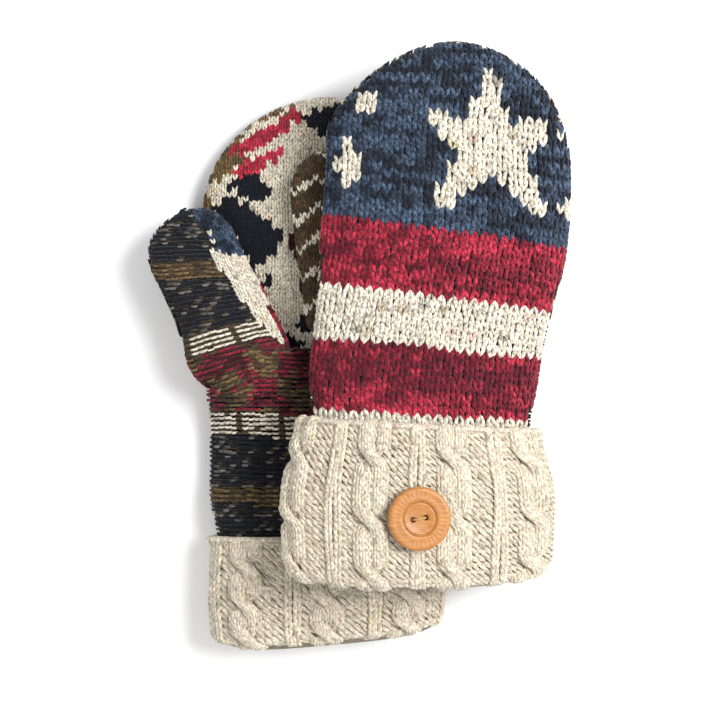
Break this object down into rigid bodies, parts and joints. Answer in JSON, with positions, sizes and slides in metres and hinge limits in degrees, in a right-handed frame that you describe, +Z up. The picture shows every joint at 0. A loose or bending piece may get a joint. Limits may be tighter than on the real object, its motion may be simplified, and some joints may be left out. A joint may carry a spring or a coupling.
{
  "type": "pair of lined wool mittens",
  "caption": "Pair of fleece-lined wool mittens cut from patterned knits, with turned-back cable cuffs and a wooden button on each, lying one across the other.",
  "frame": {"origin": "on the table, under the middle of the pair's bounding box", "axes": "+X across the hands towards the right mitten, +Y towards the fingertips, +Z up from the table"},
  "size_m": [0.2054, 0.294, 0.0644],
  "materials": {
    "banded_knit": "woolly, matt",
    "patterned_knit": "woolly, matt",
    "reversed_knit": "woolly, matt",
    "fleece": "soft pile",
    "cable_knit": "chunky tweed wool",
    "button_wood": "satin varnish",
    "button_thread": "waxed thread"
  },
  "bodies": {
    "left_mitten": {"left_back_panel": "banded_knit", "left_upper_palm_panel": "patterned_knit", "left_lower_palm_panel": "reversed_knit", "left_back_lining": "fleece", "left_upper_palm_lining": "fleece", "left_lower_palm_lining": "fleece", "left_cuff": "cable_knit", "left_button": "button_wood", "left_button_thread": "button_thread"},
    "left_thumb": {"left_thumb_outer_panel": "reversed_knit", "left_thumb_inner_panel": "patterned_knit", "left_thumb_lining": "fleece"},
    "right_mitten": {"right_back_panel": "banded_knit", "right_upper_palm_panel": "patterned_knit", "right_lower_palm_panel": "reversed_knit", "right_back_lining": "fleece", "right_upper_palm_lining": "fleece", "right_lower_palm_lining": "fleece", "right_cuff": "cable_knit", "right_button": "button_wood", "right_button_thread": "button_thread"},
    "right_thumb": {"right_thumb_outer_panel": "reversed_knit", "right_thumb_inner_panel": "patterned_knit", "right_thumb_lining": "fleece"}
  },
  "joints": [
    {"name": "right_mitten_lift", "type": "slide", "parent": "left_mitten", "child": "right_mitten", "axis": [0, 0, 1], "range_m": [0, 0.25]},
    {"name": "left_thumb_swing", "type": "hinge", "parent": "left_mitten", "child": "left_thumb", "pos_m": [-0.05648, -0.00085, 0.0241], "axis": [0, 0, 1], "range_deg": [-8, 25]},
    {"name": "right_thumb_swing", "type": "hinge", "parent": "right_mitten", "child": "right_thumb", "pos_m": [-0.00548, 0.02115, 0.0241], "axis": [0, 0, 1], "range_deg": [-5, 7]}
  ]
}
